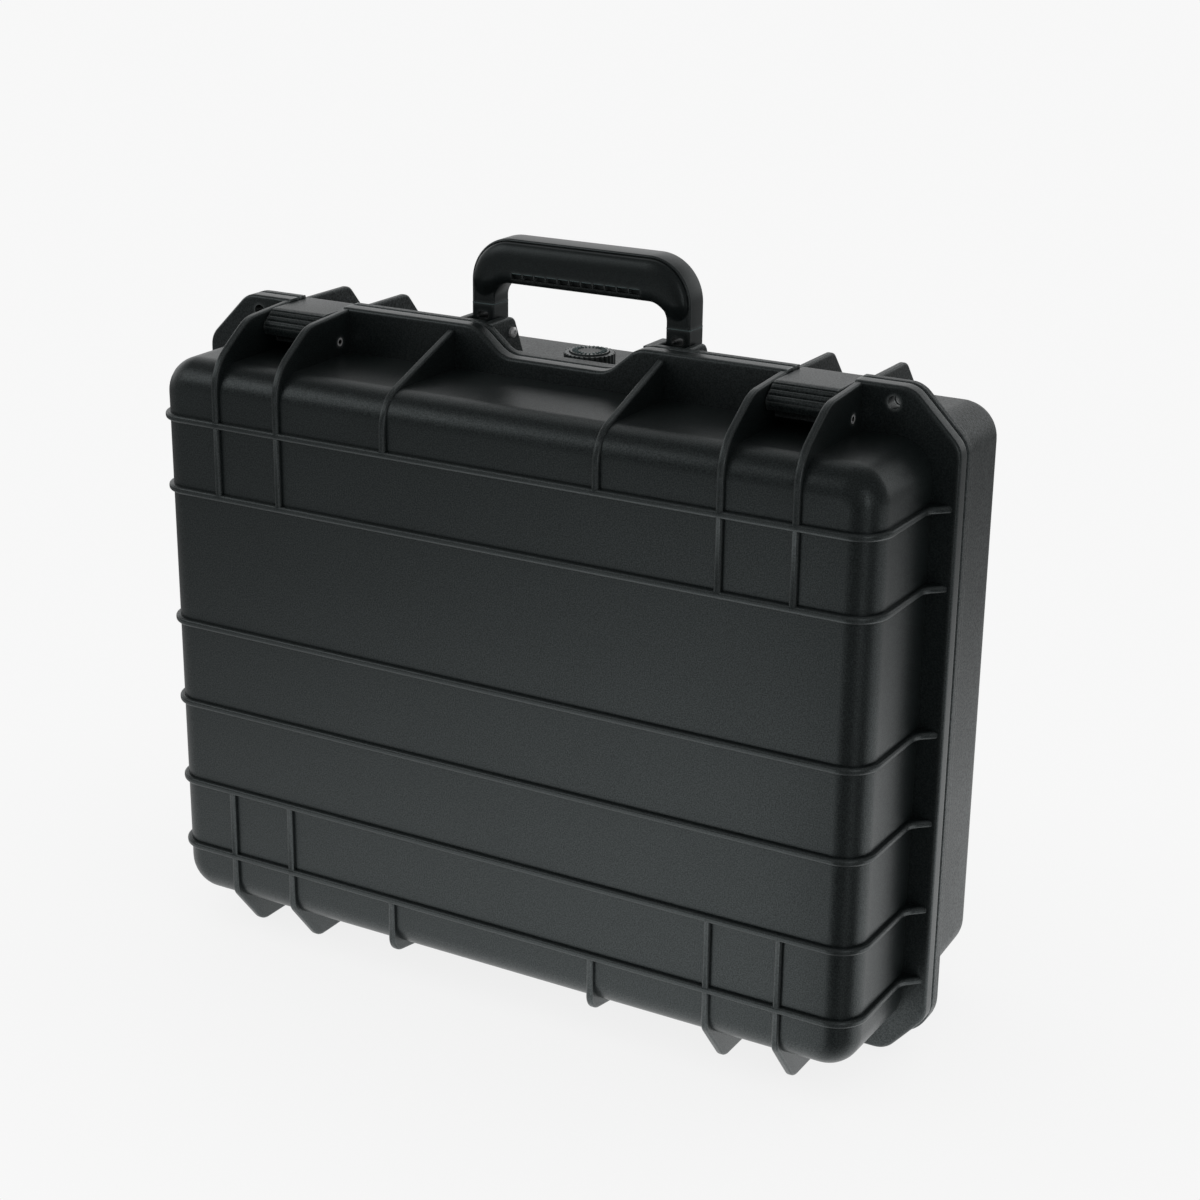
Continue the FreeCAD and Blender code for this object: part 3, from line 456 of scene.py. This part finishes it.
SLOT_HEIGHT = 370.6
SLOT_SIZE = (7.0, 30.0, 3.8)
SLOT_ROUND = 1.85
SLOT_STEPS = 6
FLASH_HEIGHT = 0.35
FLASH_PROUD = 0.12
FLASH_ROUND = 1.1
FLASH_STEPS = 5
PIN_FACE = 46.8
PIN_HEIGHT = 361.0
PIN_HEAD = 3.0
PIN_HEAD_LENGTH = 1.2
DOME_FLATNESS = 0.34
DIMPLE_RADIUS = 1.5
DIMPLE_REACH = 1.55


def make_handle_frame():
    """The handle's two feet, each with an oval slot through it."""
    piece = smooth_skin("handle_frame", "handle_plastic", "handle")
    for side in (-1.0, 1.0):
        place = (side * LEG_MIDDLE, HANDLE_LINE, SLOT_HEIGHT)
        sink(piece, rounded_block(place, SLOT_SIZE, ALONG_Y, SLOT_ROUND, SLOT_STEPS))
    alone(piece)
    bpy.ops.object.shade_smooth_by_angle(angle=math.radians(SKIN_ANGLE))


def make_seam_flash(word, side):
    """The fine ridge of moulding flash round one leg where the grip meets the foot, pale to paint a highlight
    line on it.
    """
    place = (side * LEG_MIDDLE, HANDLE_LINE, GRIP_SEAM)
    size = (LEG_OUTER - LEG_INNER + 2.0 * FLASH_PROUD, 2.0 * (BAND_DEPTH + FLASH_PROUD), FLASH_HEIGHT)
    flash = rounded_block(place, size, ALONG_Z, FLASH_ROUND, FLASH_STEPS)
    flash.name = "seam_flash_" + word
    bpy.ops.object.shade_smooth_by_angle(angle=math.radians(SKIN_ANGLE))
    painted_highlight_bars(flash, "handle_plastic", "handle")


def make_pin_dome(word, side):
    """The domed end of one handle pin, with the dimple left by its riveting."""
    start = side * (PIN_FACE - PIN_HEAD_LENGTH)
    bpy.ops.object.select_all(action="DESELECT")
    bpy.ops.mesh.primitive_uv_sphere_add(segments=32, ring_count=16, radius=PIN_HEAD * MM,
                                         location=(0.0, 0.0, 0.0))
    dome = bpy.context.active_object
    dome.name = "pin_dome_" + word
    dome.scale = (DOME_FLATNESS, 1.0, 1.0)
    dome.location = (start * MM, HANDLE_LINE * MM, PIN_HEIGHT * MM)
    bpy.ops.object.transform_apply(location=True, rotation=True, scale=True)
    dimple = ((start - side * DIMPLE_REACH) * MM, HANDLE_LINE * MM, PIN_HEIGHT * MM)
    bpy.ops.object.select_all(action="DESELECT")
    bpy.ops.mesh.primitive_uv_sphere_add(segments=24, ring_count=12, radius=DIMPLE_RADIUS * MM,
                                         location=dimple)
    sink(dome, bpy.context.active_object)
    bpy.ops.object.shade_smooth_by_angle(angle=math.radians(DOME_ANGLE))
    finish_piece(dome, "steel", "base")


# Valve knob

VALVE_LINE = 19.0
TICKS = 24
TICK_REACH = 8.1
TICK_SIZE = (2.8, 0.7, 1.0)
TICK_EDGE = 0.175
TICK_PROUD = 0.55


def make_knob_ticks():
    """The ring of raised ticks on the valve knob's top, pale to paint the highlight on them."""
    top = max(corner.co.z for corner in nodes["valve_knob"].data.vertices) / MM
    places = []
    for number in range(TICKS):
        turn = 2.0 * math.pi * number / TICKS
        places.append(((TICK_REACH * math.cos(turn), VALVE_LINE + TICK_REACH * math.sin(turn),
                        top + TICK_PROUD - TICK_SIZE[2] / 2.0), turn))
    painted_highlight_bars(joined_bars("knob_ticks", places, TICK_SIZE, TICK_EDGE), "valve_plastic", "knob")


slot_of = {part["node"]: part["material_slot"] for part in frame["record"]["subparts"]}
body_of = {node: body for body, members in frame["record"]["behaviour"]["bodies"].items() for node in members}
for node in sorted(nodes):
    if node not in ("handle_grip", "handle_frame"):
        smooth_skin(node, slot_of[node], body_of[node])
make_grip()
make_cell_lip_highlights()
make_knob_ticks()
make_handle_frame()
for word, side in (("left", -1.0), ("right", 1.0)):
    make_seam_flash(word, side)
    make_pin_dome(word, side)


# Stage, in metres and degrees

PALE = 0.935
ROOM_LIGHT = 0.70
ROOM_DIM = 0.05
ROOM_SHARE = 0.06
BACKDROP_WAY = (-0.49, 0.87, 0.0)
BACKDROP_SIDES = (0.1, 0.7)
BACKDROP_TOP = (0.30, 0.65)
FLOOR_SIZE = 30.0
FLOOR_PAINT = 0.80
SHADOW_TONE = 0.90
SHADOW_REACH = 0.30
SHADOW_SAMPLES = 16
# Painted reflection: mirrored rays see the floor glow like a lit table, with a dark patch and a bright streak
# in fans from the right front corner.
TABLE_PALE = 0.97
TABLE_DARK = 0.07
TABLE_MIDDLE = (0.15, -0.10, 0.0)
TABLE_NEAR = 0.45
TABLE_FAR = 1.15
TABLE_DIM = 0.19
TABLE_SIDES = (-0.45, 0.05)
TABLE_LEFT = 0.58
RIGHT_CORNER = (0.20, -0.08, 0.0)
FAN_SOFTNESS = (-0.04, 0.02)
PATCH_TURN = 40.0
PATCH_HALF = 54.0
STREAK_TURN = 48.0
STREAK_HALF = 8.0
STREAK_LIGHT = 0.40
LAMP_AIM = (0.0, 0.0, 0.2)
CAMERA_PLACE = (0.6185, -1.0551, 0.6482)
CAMERA_TURN = 29.60
CAMERA_HEIGHT = 19.42
CAMERA_ROLL = 0.67
CAMERA_LENS = 69.58
SENSOR_WIDTH = 36.0
CAMERA_SIGHT = 50.0


def direct_rays(tree, path):
    """1 for the camera's own rays and for transmitted ones, 0 for the rest."""
    return calculate(tree, "MAXIMUM", path.outputs["Is Camera Ray"], path.outputs["Is Transmission Ray"])


def corner_fan(tree, place, turn, half, within, beyond):
    """One value in a fan of floor that spreads from the case's right front corner, another outside it."""
    way = math.radians(turn)
    from_corner = shader_node(tree, "ShaderNodeVectorMath", {0: place, 1: RIGHT_CORNER},
                              operation="SUBTRACT").outputs[0]
    ahead = along_line(tree, from_corner, (math.sin(way), -math.cos(way), 0.0))
    aside = calculate(tree, "ABSOLUTE", along_line(tree, from_corner, (math.cos(way), math.sin(way), 0.0)))
    past = calculate(tree, "MULTIPLY_ADD", ahead, -math.tan(math.radians(half)), aside)
    return remap(tree, past, FAN_SOFTNESS[0], FAN_SOFTNESS[1], within, beyond)


def reflected_table_glow(tree):
    """How brightly the floor glows to mirrored rays, a painted reflection of a lit table: bright near the
    case, dim far off, with a dark patch and a bright streak at the corner.
    """
    place = shader_node(tree, "ShaderNodeNewGeometry").outputs["Position"]
    reach = shader_node(tree, "ShaderNodeVectorMath", {0: place, 1: TABLE_MIDDLE}, operation="DISTANCE")
    across = shader_node(tree, "ShaderNodeSeparateXYZ", {0: place}).outputs["X"]
    near = remap(tree, reach.outputs["Value"], TABLE_NEAR, TABLE_FAR, 1.0, TABLE_DIM)
    rightward = remap(tree, across, TABLE_SIDES[0], TABLE_SIDES[1], TABLE_LEFT, 1.0)
    lit = calculate(tree, "MULTIPLY", near, rightward)
    patch = corner_fan(tree, place, PATCH_TURN, PATCH_HALF, 0.0, 1.0)
    streak = corner_fan(tree, place, STREAK_TURN, STREAK_HALF, STREAK_LIGHT, 0.0)
    return remap(tree, calculate(tree, "MULTIPLY_ADD", lit, patch, streak), 0.0, 1.0, TABLE_DARK, TABLE_PALE)


def make_floor():
    """A floor that is clear to the camera but for a soft shadow; to mirrored rays it glows, a painted
    reflection of a lit table.
    """
    bpy.ops.object.select_all(action="DESELECT")
    bpy.ops.mesh.primitive_plane_add(size=FLOOR_SIZE, location=(0.0, 0.0, 0.0))
    floor = bpy.context.active_object
    floor.name = "floor"
    material, tree, surface = new_material("pale_floor")
    path = shader_node(tree, "ShaderNodeLightPath")
    mirrored = path.outputs["Is Glossy Ray"]
    to_lamp = path.outputs["Is Shadow Ray"]
    open_sky = shader_node(tree, "ShaderNodeAmbientOcclusion", {"Distance": SHADOW_REACH},
                           samples=SHADOW_SAMPLES)
    tone = remap(tree, open_sky.outputs["AO"], 0.0, 1.0, SHADOW_TONE, 1.0)
    shadow = shader_node(tree, "ShaderNodeBsdfTransparent", {"Color": tone})
    clear = shader_node(tree, "ShaderNodeBsdfTransparent", {"Color": grey(1.0)})
    # Painted reflection: the floor's glow, seen by mirrored rays only.
    table = shader_node(tree, "ShaderNodeEmission", {"Color": grey(1.0), "Strength": reflected_table_glow(tree)})
    paint = shader_node(tree, "ShaderNodeBsdfDiffuse", {"Color": grey(FLOOR_PAINT)})
    other = calculate(tree, "MAXIMUM", mirrored, to_lamp)
    special = calculate(tree, "MAXIMUM", direct_rays(tree, path), other)
    see_through = mix_shader(tree, to_lamp, shadow.outputs[0], clear.outputs[0])
    unpainted = mix_shader(tree, mirrored, see_through, table.outputs[0])
    tree.links.new(mix_shader(tree, special, paint.outputs[0], unpainted), surface)
    floor.data.materials.append(material)


def light_world():
    """An even light, paler low behind the case; mirrored rays see a dim room, and the camera only the pale."""
    world = bpy.data.worlds.new("surround")
    scene.world = world
    world.use_nodes = True
    tree = world.node_tree
    tree.nodes.clear()
    output = tree.nodes.new("ShaderNodeOutputWorld")
    path = shader_node(tree, "ShaderNodeLightPath")
    mirrored = path.outputs["Is Glossy Ray"]
    way = shader_node(tree, "ShaderNodeTexCoord").outputs["Generated"]
    height = shader_node(tree, "ShaderNodeSeparateXYZ", {0: way}).outputs["Z"]
    behind = remap(tree, along_line(tree, way, BACKDROP_WAY), BACKDROP_SIDES[0], BACKDROP_SIDES[1], 0.0, 1.0)
    low = remap(tree, height, BACKDROP_TOP[0], BACKDROP_TOP[1], 1.0, 0.0)
    backdrop = calculate(tree, "MULTIPLY", behind, low)
    room = calculate(tree, "MAXIMUM", calculate(tree, "MULTIPLY", mirrored, ROOM_SHARE), backdrop)
    share = calculate(tree, "MAXIMUM", direct_rays(tree, path), room)
    level = remap(tree, mirrored, 0.0, 1.0, ROOM_LIGHT, ROOM_DIM)
    even = shader_node(tree, "ShaderNodeBackground", {"Color": grey(1.0), "Strength": level})
    pale = shader_node(tree, "ShaderNodeBackground", {"Color": grey(PALE), "Strength": 1.0})
    tree.links.new(mix_shader(tree, share, even.outputs[0], pale.outputs[0]), output.inputs["Surface"])


def soft_box(name, place, width, height, power):
    """A large area lamp aimed at the case."""
    lamp = bpy.data.lights.new(name, "AREA")
    lamp.shape = "RECTANGLE"
    lamp.size = width
    lamp.size_y = height
    lamp.energy = power
    holder = bpy.data.objects.new(name, lamp)
    scene.collection.objects.link(holder)
    holder.location = place
    holder.rotation_euler = (Vector(LAMP_AIM) - Vector(place)).to_track_quat("-Z", "Y").to_euler()


def set_camera():
    """The camera at the photograph's place and angle."""
    turn, height, roll = (math.radians(angle) for angle in (CAMERA_TURN, CAMERA_HEIGHT, CAMERA_ROLL))
    back = Vector((math.sin(turn) * math.cos(height), -math.cos(turn) * math.cos(height), math.sin(height)))
    level = (-back).cross(Vector((0.0, 0.0, 1.0))).normalized()
    upright = level.cross(-back)
    right = math.cos(roll) * level + math.sin(roll) * upright
    up = math.cos(roll) * upright - math.sin(roll) * level
    camera = bpy.data.objects.new("camera", bpy.data.cameras.new("camera"))
    scene.collection.objects.link(camera)
    camera.data.sensor_width = SENSOR_WIDTH
    camera.data.lens = CAMERA_LENS
    camera.data.clip_end = CAMERA_SIGHT
    camera.matrix_world = Matrix.Translation(CAMERA_PLACE) @ Matrix((right, up, back)).transposed().to_4x4()
    scene.camera = camera


make_floor()
light_world()
soft_box("overhead_box", place=(-0.6, 1.2, 2.0), width=2.2, height=1.6, power=3.5)
soft_box("front_box", place=(-1.7, -1.5, 1.6), width=1.6, height=1.2, power=5.5)
soft_box("side_box", place=(1.9, -1.5, 0.8), width=0.35, height=1.4, power=2.5)
set_camera()
scene.view_settings.view_transform = "Standard"
